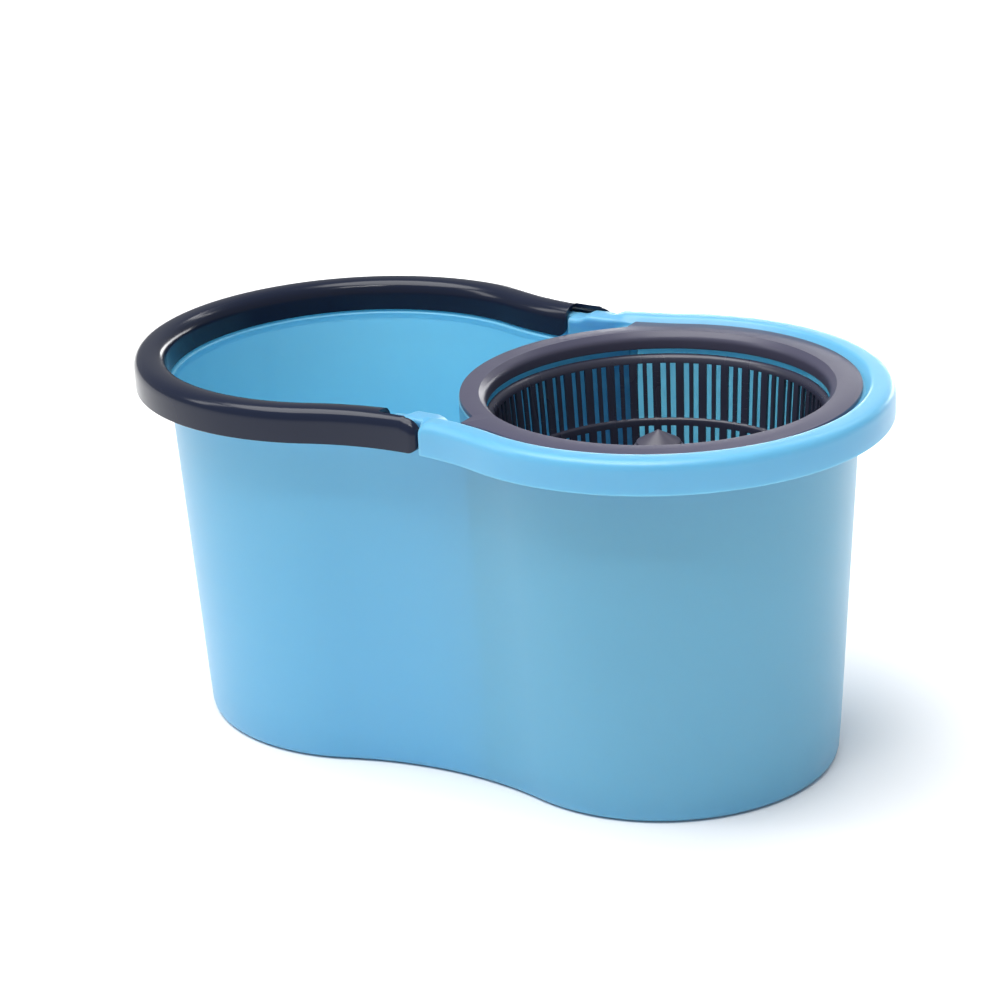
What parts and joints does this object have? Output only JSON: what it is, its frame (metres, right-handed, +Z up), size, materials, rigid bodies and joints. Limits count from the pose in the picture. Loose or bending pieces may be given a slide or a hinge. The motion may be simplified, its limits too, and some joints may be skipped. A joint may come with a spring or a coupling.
{
  "type": "spin mop bucket",
  "caption": "Peanut-plan mop bucket with a wash compartment, a free-spinning slotted wringer basket under a cover ring, and a bail handle hinged at the waist.",
  "frame": {"origin": "on the floor, at the centre of the bounding box's base", "axes": "+X from the wash end to the basket end, +Y across the bucket and along the handle's hinge, +Z up"},
  "size_m": [0.476, 0.2728, 0.2305],
  "materials": {
    "tub_blue": "moulded sky-blue polypropylene, satin gloss",
    "handle_slate": "moulded slate-grey plastic, glossy",
    "cover_grey": "moulded slate-grey plastic, satin top with a glossy lip",
    "basket_slate": "moulded dark slate plastic, satin",
    "seat_grey": "moulded grey plastic, satin",
    "nylon": "natural nylon, satin",
    "steel": "zinc-plated steel"
  },
  "bodies": {
    "bucket": {"tub": "tub_blue", "cover_ring": "cover_grey", "spindle_post": "tub_blue", "post_screw_1": "steel", "post_screw_2": "steel", "post_screw_3": "steel", "axle": "steel", "thrust_washer": "steel", "retaining_washer": "steel", "retaining_screw": "steel", "pivot_pin_near": "nylon", "pivot_pin_far": "nylon"},
    "handle": {"bail_handle": "handle_slate"},
    "basket": {"basket": "basket_slate", "basket_carrier": "basket_slate", "mop_seat": "seat_grey", "lower_bush": "nylon", "upper_bush": "nylon", "seat_screw_1": "steel", "seat_screw_2": "steel", "seat_screw_3": "steel"}
  },
  "joints": [
    {"name": "handle_hinge", "type": "hinge", "parent": "bucket", "child": "handle", "pos_m": [0.0045, 0, 0.2205], "axis": [0, 1, 0], "range_deg": [0, 95]},
    {"name": "basket_spin", "type": "hinge", "parent": "bucket", "child": "basket", "pos_m": [0.103, 0, 0.15], "axis": [0, 0, 1], "continuous": true}
  ]
}
